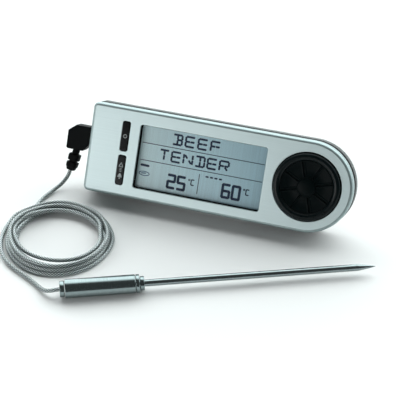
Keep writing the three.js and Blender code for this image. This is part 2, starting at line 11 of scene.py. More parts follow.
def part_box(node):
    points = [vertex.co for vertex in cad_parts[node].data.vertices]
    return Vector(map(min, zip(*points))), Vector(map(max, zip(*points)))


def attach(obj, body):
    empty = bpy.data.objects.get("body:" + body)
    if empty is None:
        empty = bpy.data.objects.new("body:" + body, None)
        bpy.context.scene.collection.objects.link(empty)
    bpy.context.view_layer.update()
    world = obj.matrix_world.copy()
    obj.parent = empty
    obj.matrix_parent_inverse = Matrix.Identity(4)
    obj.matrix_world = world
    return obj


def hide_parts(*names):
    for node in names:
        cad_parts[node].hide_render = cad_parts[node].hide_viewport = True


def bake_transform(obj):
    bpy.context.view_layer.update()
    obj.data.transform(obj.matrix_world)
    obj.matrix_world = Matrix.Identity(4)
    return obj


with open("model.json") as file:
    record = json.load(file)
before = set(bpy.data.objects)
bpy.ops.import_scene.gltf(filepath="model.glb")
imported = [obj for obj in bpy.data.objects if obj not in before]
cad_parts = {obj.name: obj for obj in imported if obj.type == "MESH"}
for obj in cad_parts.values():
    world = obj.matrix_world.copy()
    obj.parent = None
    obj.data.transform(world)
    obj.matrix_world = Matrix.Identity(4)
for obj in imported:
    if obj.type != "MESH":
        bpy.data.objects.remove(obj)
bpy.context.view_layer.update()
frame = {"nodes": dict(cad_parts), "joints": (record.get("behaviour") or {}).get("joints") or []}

# ---------------------------------------------------------------- driving dimensions
# Millimetres, in the axes of the piece's own body. The unit's axes are u along it, v up its face and
# w out of its face, from the point where the dial's axis meets the steel face.
MM = 0.001
SUPPORT = 0.4              # width of the flat strip beside a rounded edge, which keeps the flat shaded flat

COVER_SHEET = 0.8
COVER_BEND = 2.0
CORNER_RADIUS = 3.5
WINDOW_MARGIN = 1.0        # how far the lens reaches under the cover round the window
WINDOW_CORNER = 1.5
DIAL_HOLE_RADIUS = 23.0
SLOT_GAP = 0.3
HOUSING_WALL = 1.8
HOUSING_BEVEL = 1.6
PAINTED_SHADE_BAND = 3.4            # painted shade: a black band round the housing's front, below the steel cover, where the step under the cover lies in shadow
BACK_WALL = 2.0

KEY_SIZE = (5.0, 20.0)
KEY_CORNER = 1.2

RIM_INNER = 17.7
HUB_RADIUS = 6.3
INSERT_FLOOR = 0.4
PETALS = 8
PETAL_TURN = math.radians(16.8)     # from the unit's length to the first groove

CORD_RADIUS = 1.4
CARRIERS = 6               # wire bundles that wind each way in the braid
BRAID_PITCH = 12.4
BRAID_STEP = 0.29          # length of one ring of the tube's faces
BRAID_SIDES = 30
BRAID_RELIEF = 0.34        # how deep the braid's gaps are
CORD_INSIDE = 2.6          # how far the cord runs into the rear cap and into the strain relief

RELIEF_LEAN = math.radians(9.5)
RELIEF_FROM_RIGHT = 11.1   # from the plug's right side to the middle of the relief's top
RELIEF_LENGTH = 15.2

CAMERA_AZIMUTH = math.radians(17.13)
CAMERA_ELEVATION = math.radians(39.35)
CAMERA_DISTANCE = 0.9512
CAMERA_TARGET = Vector((-0.0235, 0.040, 0.008))
CAMERA_LENS = 126.0
SENSOR_WIDTH = 36.0

# ---------------------------------------------------------------- the bodies' axes
joints = {joint["name"]: joint for joint in frame["joints"]}


def axes_at(origin, x_axis, z_axis):
    """The matrix of right-handed axes at a point, from their x and z directions."""
    x, z = Vector(x_axis).normalized(), Vector(z_axis).normalized()
    matrix = Matrix((x, z.cross(x), z)).transposed().to_4x4()
    matrix.translation = Vector(origin)
    return matrix


def node_points(node):
    """A CAD node's points, in metres, as an array."""
    return np.array([vertex.co for vertex in frame["nodes"][node].data.vertices])


def span(node, axes):
    """A CAD node's lowest and highest place along each of a body's axes, in millimetres."""
    inverse = np.array(axes.inverted())
    places = (node_points(node) @ inverse[:3, :3].T + inverse[:3, 3]) / MM
    return list(zip(places.min(axis=0), places.max(axis=0)))


def probe_axes():
    """Axes at the middle of the rear cap's back face, with z along the probe to its point."""
    back, front = node_points("probe_handle").mean(axis=0), node_points("probe_collar").mean(axis=0)
    along = Vector(front - back)
    along.z = 0
    along.normalize()
    start = min((node_points("probe_rear_cap") - back) @ np.array(along))
    return axes_at(Vector(back) + along * start, Vector((0, 0, 1)), along)


WORLD = Matrix.Identity(4)
UNIT = axes_at(joints["dial_turn"]["pos_m"], (1, 0, 0), joints["dial_turn"]["axis"])
stand_open = math.radians(-joints["stand_fold"]["range_deg"][0])
STAND = UNIT.to_3x3().to_4x4() @ Matrix.Rotation(stand_open, 4, "X")
STAND.translation = Vector(joints["stand_fold"]["pos_m"])
PROBE = probe_axes()


# ---------------------------------------------------------------- camera
def add_camera():
    """The one camera, from a little right of the front and well above."""
    data = bpy.data.cameras.new("camera")
    data.lens = CAMERA_LENS
    data.sensor_width = SENSOR_WIDTH
    data.clip_end = 10
    camera = bpy.data.objects.new("camera", data)
    back = Vector((math.sin(CAMERA_AZIMUTH) * math.cos(CAMERA_ELEVATION),
                   -math.cos(CAMERA_AZIMUTH) * math.cos(CAMERA_ELEVATION), math.sin(CAMERA_ELEVATION)))
    camera.location = CAMERA_TARGET + back * CAMERA_DISTANCE
    camera.rotation_euler = back.to_track_quat("Z", "Y").to_euler()
    bpy.context.scene.collection.objects.link(camera)
    bpy.context.scene.camera = camera


add_camera()


# ---------------------------------------------------------------- materials
def srgb(red, green, blue):
    """A colour given in the usual 0 to 255 steps, as the linear numbers that a shader reads."""
    share = [value / 255 for value in (red, green, blue)]
    linear = [x / 12.92 if x <= 0.04045 else ((x + 0.055) / 1.055) ** 2.4 for x in share]
    return (*linear, 1.0)


def new_material(name):
    """A material with its node tree, and the shader that every material here ends in."""
    material = bpy.data.materials.new(name)
    material.use_nodes = True
    return material, material.node_tree, material.node_tree.nodes["Principled BSDF"]


def add_noise(tree, frequency, detail=3.0):
    """Noise in the piece's own axes; frequency is in waves per metre along each axis."""
    place = tree.nodes.new("ShaderNodeTexCoord")
    stretch = tree.nodes.new("ShaderNodeMapping")
    stretch.inputs["Scale"].default_value = frequency
    noise = tree.nodes.new("ShaderNodeTexNoise")
    noise.inputs["Scale"].default_value = 1.0
    noise.inputs["Detail"].default_value = detail
    tree.links.new(place.outputs["Object"], stretch.inputs["Vector"])
    tree.links.new(stretch.outputs["Vector"], noise.inputs["Vector"])
    return noise.outputs["Fac"]


def between(tree, factor, low, high, start=0.3, stop=0.7):
    """A number that goes from low to high as factor goes from start to stop."""
    spread = tree.nodes.new("ShaderNodeMapRange")
    spread.inputs["From Min"].default_value = start
    spread.inputs["From Max"].default_value = stop
    spread.inputs["To Min"].default_value = low
    spread.inputs["To Max"].default_value = high
    tree.links.new(factor, spread.inputs["Value"])
    return spread.outputs["Result"]


def colours(tree, factor, stops):
    """A colour ramp; stops are (place, colour)."""
    ramp = tree.nodes.new("ShaderNodeValToRGB")
    ramp.color_ramp.elements[0].position, ramp.color_ramp.elements[0].color = stops[0]
    ramp.color_ramp.elements[1].position, ramp.color_ramp.elements[1].color = stops[-1]
    for position, colour in stops[1:-1]:
        ramp.color_ramp.elements.new(position).color = colour
    tree.links.new(factor, ramp.inputs["Fac"])
    return ramp.outputs["Color"]


def add_bump(tree, shader, height, strength, distance):
    """Relief on the shader's surface; distance is in millimetres."""
    bump = tree.nodes.new("ShaderNodeBump")
    bump.inputs["Strength"].default_value = strength
    bump.inputs["Distance"].default_value = distance * MM
    tree.links.new(height, bump.inputs["Height"])
    tree.links.new(bump.outputs["Normal"], shader.inputs["Normal"])


def grained(name, dark, light, rough, metallic=0.0, grain=(2500, 2500, 2500), bump=(0.2, 0.05),
            specular=0.5):
    """A finish whose colour, roughness and height vary with one grain: rough is its (least, most)."""
    material, tree, shader = new_material(name)
    factor = add_noise(tree, grain)
    stops = [(0.3, srgb(*dark)), (0.7, srgb(*light))]
    tree.links.new(colours(tree, factor, stops), shader.inputs["Base Color"])
    tree.links.new(between(tree, factor, *rough), shader.inputs["Roughness"])
    shader.inputs["Metallic"].default_value = metallic
    shader.inputs["Specular IOR Level"].default_value = specular
    add_bump(tree, shader, factor, *bump)
    return material


def display_material():
    """The liquid-crystal glass: a cool grey with painted shade that darkens it to the right, with faint
    upright lines.
    """
    material, tree, shader = new_material("display_glass")
    place = tree.nodes.new("ShaderNodeTexCoord")
    split = tree.nodes.new("ShaderNodeSeparateXYZ")
    tree.links.new(place.outputs["Object"], split.inputs["Vector"])
    left, right = [side * MM for side in span("lcd_panel", WORLD)[0]]
    along = between(tree, split.outputs["X"], 0.0, 1.0, left, right)
    # Painted shade: lightest at the glass's left end and darker towards the right.
    stops = [(0.0, srgb(224, 251, 255)), (0.45, srgb(206, 240, 250)), (1.0, srgb(172, 211, 225))]
    ground = colours(tree, along, stops)
    lines = add_noise(tree, (1400, 12, 12), detail=1.0)
    shade = between(tree, lines, 0.94, 1.04)
    mix = tree.nodes.new("ShaderNodeVectorMath")
    mix.operation = "SCALE"
    tree.links.new(ground, mix.inputs[0])
    tree.links.new(shade, mix.inputs["Scale"])
    tree.links.new(mix.outputs["Vector"], shader.inputs["Base Color"])
    shader.inputs["Roughness"].default_value = 0.35
    return material


def lens_material():
    """Clear plastic: nearly all light goes straight through, and a little is reflected."""
    material, tree, shader = new_material("clear_lens")
    haze = add_noise(tree, (300, 300, 300))
    tree.links.new(between(tree, haze, 0.04, 0.07), shader.inputs["Roughness"])
    shader.inputs["Base Color"].default_value = srgb(40, 46, 48)
    shader.inputs["Specular IOR Level"].default_value = 0.2
    shader.inputs["Alpha"].default_value = 0.04
    return material


def board_material():
    """Green circuit board with paler tracks."""
    material, tree, shader = new_material("board_green")
    place = tree.nodes.new("ShaderNodeTexCoord")
    tracks = tree.nodes.new("ShaderNodeTexBrick")
    tracks.inputs["Scale"].default_value = 90.0
    tracks.inputs["Mortar Size"].default_value = 0.015
    tracks.inputs["Color1"].default_value = srgb(38, 96, 60)
    tracks.inputs["Color2"].default_value = srgb(31, 84, 52)
    tracks.inputs["Mortar"].default_value = srgb(120, 156, 96)
    tree.links.new(place.outputs["Object"], tracks.inputs["Vector"])
    tree.links.new(tracks.outputs["Color"], shader.inputs["Base Color"])
    tree.links.new(between(tree, add_noise(tree, (900, 900, 900)), 0.35, 0.5), shader.inputs["Roughness"])
    return material


def braid_material():
    """Woven steel wire: a painted highlight on the crowns of the bundles and painted shade in the gaps, with
    fine single wires.
    """
    material, tree, shader = new_material("braided_steel")
    crown = tree.nodes.new("ShaderNodeAttribute")
    crown.attribute_name = "crown"
    wires = add_noise(tree, (4200, 4200, 4200), detail=2.0)
    # Painted shade in the braid's gaps, near black, and a painted highlight on the crowns, near white.
    stops = [(0.0, srgb(2, 4, 4)), (0.54, srgb(14, 20, 21)), (0.76, srgb(130, 142, 143)),
             (0.95, srgb(242, 248, 248))]
    tree.links.new(colours(tree, crown.outputs["Fac"], stops), shader.inputs["Base Color"])
    tree.links.new(between(tree, wires, 0.28, 0.5), shader.inputs["Roughness"])
    shader.inputs["Metallic"].default_value = 0.55
    add_bump(tree, shader, wires, 0.35, 0.06)
    return material


paint = {
    "face_steel": grained("brushed_face_steel", (200, 217, 218), (208, 224, 225), (0.42, 0.5), 0.85,
                          (10, 2600, 2600), (0.06, 0.01)),
    # The bent sides get a darker copy of the face's steel: painted shade on the same sheet.
    "shaded_edge_steel": grained("brushed_edge_steel", (152, 168, 169), (164, 179, 180), (0.46, 0.54), 1.0,
                          (14, 1500, 1500), (0.06, 0.01)),
    "turned_steel": grained("turned_handle_steel", (122, 135, 136), (142, 154, 155), (0.16, 0.24), 1.0,
                            (40, 40, 5200), (0.01, 0.002)),
    "needle_steel": grained("ground_needle_steel", (130, 141, 142), (150, 160, 161), (0.16, 0.24), 1.0,
                            (60, 60, 4200), (0.01, 0.002)),
    "bright_steel": grained("polished_steel", (205, 210, 211), (226, 230, 231), (0.1, 0.2), 1.0,
                            (900, 900, 900), (0.05, 0.01)),
    "plastic_black": grained("black_plastic", (2, 6, 8), (6, 11, 13), (0.42, 0.56), 0.0,
                             (2400, 2400, 2400), (0.3, 0.05), 0.07),
    "gloss_black": grained("gloss_black", (2, 6, 8), (5, 10, 12), (0.14, 0.22), 0.0,
                           (700, 700, 700), (0.05, 0.02), 0.12),
    "rim_black": grained("rim_black", (2, 12, 14), (4, 17, 19), (0.26, 0.34), 0.0,
                         (900, 900, 900), (0.08, 0.02), 0.17),
    "petal_black": grained("satin_black", (2, 9, 10), (5, 15, 16), (0.36, 0.46), 0.0,
                           (1500, 1500, 1500), (0.15, 0.03), 0.06),
    "plastic_grey": grained("grey_plastic", (46, 53, 54), (54, 61, 62), (0.4, 0.5), 0.2,
                            (2600, 2600, 2600), (0.35, 0.05)),
    "rubber": grained("black_rubber", (5, 6, 7), (12, 13, 14), (0.7, 0.85), 0.0,
                      (1800, 1800, 1800), (0.4, 0.08), 0.15),
    "plastic_white": grained("white_plastic", (222, 226, 223), (233, 236, 234), (0.4, 0.52), 0.0,
                             (2200, 2200, 2200), (0.25, 0.04)),
    "brass": grained("brass", (182, 146, 66), (212, 178, 92), (0.2, 0.32), 1.0,
                     (80, 80, 4200), (0.08, 0.01)),
    "cell_wrap": grained("cell_wrap", (52, 64, 76), (66, 80, 92), (0.28, 0.4), 0.3,
                         (30, 900, 900), (0.1, 0.02)),
    "print_grey": grained("key_print", (168, 176, 176), (192, 198, 198), (0.45, 0.55), 0.0,
                          (1800, 1800, 1800), (0.1, 0.01)),
    "segment_ink": grained("display_segment", (14, 42, 72), (22, 50, 82), (0.5, 0.6), 0.0,
                           (1600, 1600, 1600), (0.05, 0.01)),
    "segment_faint": grained("display_segment_faint", (84, 122, 152), (98, 134, 162), (0.4, 0.5), 0.0,
                             (1600, 1600, 1600), (0.05, 0.01)),
    "display": display_material(),
    "lens": lens_material(),
    "board": board_material(),
    "braid": braid_material(),
}


# ---------------------------------------------------------------- mesh making
def arc(u, v, radius, start, stop, steps):
    """Points along an arc; the angles are in degrees."""
    angles = np.radians(np.linspace(start, stop, steps + 1))
    return np.column_stack((u + radius * np.cos(angles), v + radius * np.sin(angles)))


def rounded_rectangle(u, v, width, height, radius, steps=6):
    """A closed anticlockwise rectangle with round corners about the middle (u, v)."""
    u0, u1 = u - width / 2 + radius, u + width / 2 - radius
    v0, v1 = v - height / 2 + radius, v + height / 2 - radius
    return np.vstack([arc(u1, v0, radius, -90, 0, steps), arc(u1, v1, radius, 0, 90, steps),
                      arc(u0, v1, radius, 90, 180, steps), arc(u0, v0, radius, 180, 270, steps)])


def circle(u, v, radius, steps):
    """A closed anticlockwise circle."""
    return arc(u, v, radius, 0, 360, steps)[:-1]


def filleted(corners, closed=False, steps=5):
    """A line with its corners rounded; corners are (x, y, radius)."""
    points = []
    for i, (x, y, radius) in enumerate(corners):
        here = np.array((x, y), float)
        if radius == 0 or (not closed and i in (0, len(corners) - 1)):
            points.append(here)
            continue
        before = np.array(corners[i - 1][:2]) - here
        after = np.array(corners[(i + 1) % len(corners)][:2]) - here
        before, after = before / np.linalg.norm(before), after / np.linalg.norm(after)
        half = math.acos(np.clip(before @ after, -1, 1)) / 2
        middle = before + after
        centre = here + middle / np.linalg.norm(middle) * radius / math.sin(half)
        start = here + before * radius / math.tan(half) - centre
        stop = here + after * radius / math.tan(half) - centre
        first = math.atan2(start[1], start[0])
        turn = (math.atan2(stop[1], stop[0]) - first + math.pi) % (2 * math.pi) - math.pi
        for step in range(steps + 1):
            angle = first + turn * step / steps
            points.append(centre + radius * np.array((math.cos(angle), math.sin(angle))))
    return np.array(points)


def inset(loop, distance):
    """A closed anticlockwise outline drawn in by distance, or out where it is negative."""
    edges = np.roll(loop, -1, axis=0) - loop
    edges = edges / np.linalg.norm(edges, axis=1)[:, None]
    inward = np.column_stack((-edges[:, 1], edges[:, 0]))
    before = np.roll(inward, 1, axis=0)
    share = 1 + (inward * before).sum(axis=1)
    return loop + distance * (inward + before) / share[:, None]


def unit_outline(distance, end_steps=96, corner_steps=8):
    """The unit's outline drawn in by distance: a half circle about the dial and a straight left end."""
    (left, _), (_, top), _ = span("front_cover", UNIT)
    corner = max(CORNER_RADIUS - distance, 0.5)
    corner_u, corner_v = left + distance + corner, top - distance - corner
    return np.vstack([arc(0, 0, top - distance, -90, 90, end_steps),
                      arc(corner_u, corner_v, corner, 90, 180, corner_steps),
                      arc(corner_u, -corner_v, corner, 180, 270, corner_steps)])


class Surface:
    """Points in millimetres and the faces between them, gathered ring by ring."""

    def __init__(self):
        self.points = []
        self.faces = []

    def ring(self, loop, height=None):
        """Adds a closed ring and returns its points' numbers; a flat loop is put at that height."""
        loop = np.asarray(loop, float)
        if height is not None:
            loop = np.column_stack((loop, np.full(len(loop), height)))
        first = len(self.points)
        self.points.extend(map(tuple, loop))
        return list(range(first, first + len(loop)))

    def bridge(self, rings, closed=False):
        """Faces between each ring and the next, and back to the first ring where the row is closed."""
        pairs = list(zip(rings, rings[1:])) + ([(rings[-1], rings[0])] if closed else [])
        for low, high in pairs:
            for i in range(len(low)):
                j = (i + 1) % len(low)
                self.faces.append((low[i], low[j], high[j], high[i]))

    def fill(self, outer, holes=()):
        """Fills a flat ring, apart from the rings inside it."""
        loops = [outer, *holes]
        numbers = [number for loop in loops for number in loop]
        flat = [[Vector(self.points[number]) for number in loop] for loop in loops]
        self.faces.extend(tuple(numbers[i] for i in face) for face in tessellate_polygon(flat))

    def capped(self, rings):
        """A closed body: faces between the rings, and the first and last ring filled."""
        self.bridge(rings)
        self.fill(rings[0])
        self.fill(rings[-1])

    def plate(self, outer, low, high, radius, steps=4):
        """A plate between two heights, with its edges rounded."""
        profile = edge_profile(low, high, radius, steps)
        self.capped([self.ring(inset(outer, distance), height) for distance, height in profile])

    def turned(self, profile, steps=96, closed=False):
        """A piece turned about z; profile points are (radius, height)."""
        rings = [self.ring(circle(0, 0, max(radius, 1e-5), steps), height) for radius, height in profile]
        self.bridge(rings, closed)

    def build(self, name, axes):
        """The mesh object, welded, with its faces pointing out."""
        shape = bmesh.new()
        vertices = [shape.verts.new([x * MM for x in point]) for point in self.points]
        for face in self.faces:
            if len(set(face)) == len(face):
                shape.faces.new([vertices[i] for i in face])
        bmesh.ops.remove_doubles(shape, verts=shape.verts, dist=2e-7)
        bmesh.ops.recalc_face_normals(shape, faces=shape.faces)
        mesh = bpy.data.meshes.new(name)
        shape.to_mesh(mesh)
        shape.free()
        piece = bpy.data.objects.new(name, mesh)
        piece.matrix_world = axes
        bpy.context.scene.collection.objects.link(piece)
        return piece


def edge_profile(low, high, radius, steps):
    """(inset, height) pairs up the side of a plate with rounded edges and a flat strip beside each."""
    bottom = [(radius - x, low + radius + y) for x, y in arc(0, 0, radius, -90, 0, steps)]
    top = [(radius - x, high - radius + y) for x, y in arc(0, 0, radius, 0, 90, steps)]
    return [(radius + SUPPORT, low), *bottom, *top, (radius + SUPPORT, high)]


def finish_piece(piece, body, finishes, nodes=(), sharp=32):
    """Gives a piece its materials, its body and the CAD nodes that it stands for."""
    for finish in finishes if isinstance(finishes, (list, tuple)) else [finishes]:
        piece.data.materials.append(paint[finish])
    piece.data.shade_smooth()
    piece.data.set_sharp_from_angle(angle=math.radians(sharp))
    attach(piece, body)
    if nodes:
        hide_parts(*nodes)
    return piece


def combine(piece, tool, operation):
    """Joins a tool's shape to a piece (UNION) or cuts it away (DIFFERENCE), and removes the tool."""
    change = piece.modifiers.new("change", "BOOLEAN")
    change.operation = operation
    change.solver = "EXACT"
    change.object = tool
    bpy.context.view_layer.update()
    result = bpy.data.meshes.new_from_object(piece.evaluated_get(bpy.context.evaluated_depsgraph_get()))
    piece.modifiers.clear()
    piece.data = result
    bpy.data.objects.remove(tool)
    return piece


EVERYWHERE = (-200, 200)   # wider than the whole unit, for a cut right across


def block(x, y, z, axes=UNIT):
    """A plain box to cut or join with; x, y and z are (low, high) in millimetres."""
    shape = Surface()
    corners = [(x[0], y[0]), (x[1], y[0]), (x[1], y[1]), (x[0], y[1])]
    rings = [shape.ring(corners, height) for height in z]
    shape.capped(rings)
    return shape.build("tool", axes)


def rod(x, y, radius, z, steps=32):
    """A plain cylinder that stands on the unit's face, to cut or join with."""
    shape = Surface()
    shape.turned([(0, z[0]), (radius, z[0]), (radius, z[1]), (0, z[1])], steps)
    return shape.build("tool", UNIT @ Matrix.Translation((x * MM, y * MM, 0)))


def across(v, w, radius, u, axes=UNIT, steps=32):
    """A plain cylinder about the unit's length to cut or join with."""
    turn = Matrix.Translation((0, v * MM, w * MM)) @ Matrix.Rotation(math.pi / 2, 4, "Y")
    shape = Surface()
    shape.turned([(0, u[0]), (radius, u[0]), (radius, u[1]), (0, u[1])], steps)
    return shape.build("tool", axes @ turn)


# ---------------------------------------------------------------- cord
# The free stretches are the CAD's own points, in metres.
plug_to_coil = [
    (-0.1178, 0.0407, 0.0118), (-0.1183, 0.0393, 0.0095), (-0.1195, 0.0375, 0.0072),
    (-0.1212, 0.0349, 0.0046), (-0.1234, 0.0318, 0.0029), (-0.1256, 0.0282, 0.0020),
    (-0.1276, 0.0238, 0.0016), (-0.1294, 0.0186, 0.0015), (-0.1303, 0.0134, 0.0015),
    (-0.1306, 0.0092, 0.0015),
]
coil_to_probe = [
    (-0.1384, -0.0054, 0.0046), (-0.1406, -0.0125, 0.0036), (-0.1412, -0.0205, 0.0026),
    (-0.1403, -0.0285, 0.0019), (-0.1376, -0.0363, 0.0015), (-0.1334, -0.0436, 0.0014),
    (-0.1278, -0.0496, 0.0014), (-0.1204, -0.0546, 0.0014), (-0.1126, -0.0584, 0.0014),
    (-0.1058, -0.0618, 0.0014), (-0.0998, -0.0654, 0.0015), (-0.0950, -0.0685, 0.0023),
    (-0.0908, -0.0704, 0.0038), (-0.0872, -0.0706, 0.0053), (-0.0831, -0.0691, 0.0061),
]
COIL_START = 160.0         # degrees, where the strand from the plug has joined the coil
COIL_STOP = 132.0          # degrees, where the strand to the probe leaves its top
COIL_STEP = 12.0           # degrees between the coil's points
# Each turn's reach along x and along y, how far its middle lies off the coil's own middle, its height,
# and the share of the turn after which the strand crosses over to the next one's place.
coil_turns = [
    (33.8, 34.8, 0.6, 0.5, 1.45, 0.62),
    (31.5, 32.1, 0.4, 0.9, 1.45, 0.50),
    (30.4, 28.3, -0.6, 1.9, 1.45, 0.45),
    (30.6, 29.2, 0.2, 0.8, 3.9, 0.70),
    (32.6, 32.4, 0.2, -0.6, 3.9, 0.42),
    (30.4, 25.0, -0.6, 0.8, 5.6, 0.55),
    (31.6, 30.4, 0.4, -0.7, 6.4, 0.60),
    (33.0, 32.0, -0.8, 0.4, 6.6, 0.60),
]
FLOOR_CLEARANCE = 0.05
CONTACT_STEP = 1.4         # distance between the points that push each other apart


def coil_points():
    """The turns, anticlockwise from above, from the plug's strand below to the probe's strand on top."""
    low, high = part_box("cord_coil")
    middle = (low + high) / 2 / MM
    points = []
    whole = (len(coil_turns) - 1) * 360 + COIL_STOP - COIL_START
    for step in range(int(whole / COIL_STEP) + 1):
        turned = step * COIL_STEP
        turn = turned / 360
        here = coil_turns[int(turn)]
        following = coil_turns[min(int(turn) + 1, len(coil_turns) - 1)]
        share = np.clip((turn % 1 - here[-1]) / 0.3, 0, 1)
        share = share * share * (3 - 2 * share)
        values = [a + (b - a) * share for a, b in zip(here[:5], following[:5])]
        reach_x, reach_y, off_x, off_y, height = values
        angle = math.radians(COIL_START + turned)
        points.append((middle.x + off_x + reach_x * math.cos(angle),
                       middle.y + off_y + reach_y * math.sin(angle), height))
    return points


def even_line(points, step):
    """The same line with its points evenly spaced."""
    along = np.concatenate([[0], np.cumsum(np.linalg.norm(np.diff(points, axis=0), axis=1))])
    places = np.linspace(0, along[-1], int(round(along[-1] / step)) + 1)
    return np.column_stack([np.interp(places, along, points[:, axis]) for axis in range(3)])


def smooth_line(controls, step):
    """An evenly spaced curve through the control points (a centripetal Catmull-Rom spline)."""
    controls = np.array(controls, float)
    ends = [2 * controls[0] - controls[1], 2 * controls[-1] - controls[-2]]
    knots = np.vstack([ends[0], controls, ends[1]])
    line = []
    for p0, p1, p2, p3 in zip(knots, knots[1:], knots[2:], knots[3:]):
        t1 = np.linalg.norm(p1 - p0) ** 0.5
        t2 = t1 + np.linalg.norm(p2 - p1) ** 0.5
        t3 = t2 + np.linalg.norm(p3 - p2) ** 0.5
        for t in np.linspace(t1, t2, 24, endpoint=False):
            a1 = p0 + (p1 - p0) * t / t1
            a2 = p1 + (p2 - p1) * (t - t1) / (t2 - t1)
            a3 = p2 + (p3 - p2) * (t - t2) / (t3 - t2)
            b1 = a1 + (a2 - a1) * t / t2
            b2 = a2 + (a3 - a2) * (t - t1) / (t3 - t1)
            line.append(b1 + (b2 - b1) * (t - t1) / (t2 - t1))
    line.append(controls[-1])
    return even_line(np.array(line), step)


def settle(line, free, rounds=70, sink=0.012):
    """Lets the turns come to rest: they sink to the table, push each other apart and stay smooth."""
    start = line.copy()
    numbers = np.arange(len(line))
    apart = np.abs(numbers[:, None] - numbers[None]) * CONTACT_STEP > 4 * CORD_RADIUS
    wanted = 2 * CORD_RADIUS + 0.04
    for _ in range(rounds):
        shift = line - start
        shift[free, 2] -= sink
        shift[1:-1] += 0.5 * ((shift[:-2] + shift[2:]) / 2 - shift[1:-1]) * free[1:-1, None]
        line = start + shift
        offset = line[:, None] - line[None]
        distance = np.linalg.norm(offset, axis=2) + 1e-9
        push = np.where(apart & (distance < wanted), (wanted - distance) / distance, 0)
        line = line + 0.3 * (offset * push[..., None]).sum(axis=1) * free[:, None]
        line[:, 2] = np.maximum(line[:, 2], CORD_RADIUS + FLOOR_CLEARANCE)
    return line


def relief_axes():
    """Axes at the top of the strain relief, with z down along it."""
    (_, right), (bottom, _), (back, front) = span("plug_body", UNIT)
    place = ((right - RELIEF_FROM_RIGHT) * MM, bottom * MM, (back + front) / 2 * MM)
    axes = UNIT @ Matrix.Translation(place) @ Matrix.Rotation(-RELIEF_LEAN, 4, "Z")
    return axes @ Matrix.Rotation(math.pi / 2, 4, "X")


def cord_route():
    """The cord's whole centreline in millimetres, from the probe's rear cap to the plug's strain relief."""
    inside_cap = PROBE @ Vector((0, 0, CORD_INSIDE * MM))
    relief = relief_axes()
    inside_relief = relief @ Vector((0, 0, (RELIEF_LENGTH - CORD_INSIDE) * MM))
    lead_in = [tuple(x / MM for x in point) for point in [inside_cap, *coil_to_probe[::-1]]]
    lead_out = [tuple(x / MM for x in point) for point in [*plug_to_coil[::-1], inside_relief]]
    line = smooth_line(lead_in + coil_points()[::-1] + lead_out, CONTACT_STEP)
    places = np.arange(len(line)) * CONTACT_STEP
    reach_in = np.linalg.norm(np.diff(np.array(lead_in), axis=0), axis=1).sum()
    reach_out = places[-1] - np.linalg.norm(np.diff(np.array(lead_out), axis=0), axis=1).sum()
    free = (places > reach_in - 25) & (places < reach_out + 20)
    return settle(line, free)


def braid_height(along, angle):
    """How proud the braid stands, from 0 in its gaps to 1 on the crowns of its two families of bundles."""
    one = CARRIERS * (angle / (2 * math.pi) + along / BRAID_PITCH)
    two = CARRIERS * (angle / (2 * math.pi) - along / BRAID_PITCH)
    weave = 0.45
    over_one = weave * np.cos(math.pi * (two - 0.5)) * (-1) ** np.floor(one)
    over_two = weave * np.cos(math.pi * (one - 0.5)) * (-1) ** np.floor(two)
    first = np.sin(math.pi * (one % 1)) ** 0.6 + over_one
    second = np.sin(math.pi * (two % 1)) ** 0.6 - over_two
    return np.clip(np.maximum(first, second) / (1 + weave), 0, 1)


def cord_frames(line):
    """Two directions across the cord at each point, carried along it without twist."""
    tangents = np.gradient(line, axis=0)
    tangents /= np.linalg.norm(tangents, axis=1)[:, None]
    side = np.cross(tangents[0], (0, 0, 1))
    sides = []
    for tangent in tangents:
        side = side - tangent * (side @ tangent)
        side = side / np.linalg.norm(side)
        sides.append(side)
    sides = np.array(sides)
    return sides, np.cross(tangents, sides)


def make_cord():
    """The woven tube along the cord's line. Returns it and the line."""
    line = even_line(smooth_line(cord_route()[::3], 0.5), BRAID_STEP)
    line[:, 2] = np.maximum(line[:, 2], CORD_RADIUS + FLOOR_CLEARANCE)
    sides, ups = cord_frames(line)
    along = np.arange(len(line))[:, None] * BRAID_STEP
    angle = np.arange(BRAID_SIDES)[None] * 2 * math.pi / BRAID_SIDES
    crown = braid_height(along, angle)
    radius = CORD_RADIUS - BRAID_RELIEF * (1 - crown)
    points = (line[:, None] + radius[..., None] * (np.cos(angle)[..., None] * sides[:, None]
                                                  + np.sin(angle)[..., None] * ups[:, None]))
    shape = Surface()
    rings = [shape.ring(ring) for ring in points]
    shape.bridge(rings)
    shape.faces.append(tuple(rings[0][::-1]))
    shape.faces.append(tuple(rings[-1]))
    mesh = bpy.data.meshes.new("braided_cord")
    mesh.from_pydata(np.array(shape.points) * MM, [], shape.faces)
    crowns = mesh.attributes.new("crown", "FLOAT", "POINT")
    crowns.data.foreach_set("value", crown.ravel().astype(np.float32))
    mesh.materials.append(paint["braid"])
    mesh.shade_smooth()
    cord = bpy.data.objects.new("braided_cord", mesh)
    bpy.context.scene.collection.objects.link(cord)
    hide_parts("cord_to_coil", "cord_coil", "cord_to_probe")
    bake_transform(cord)
    return cord, line * MM


cord, cord_line = make_cord()


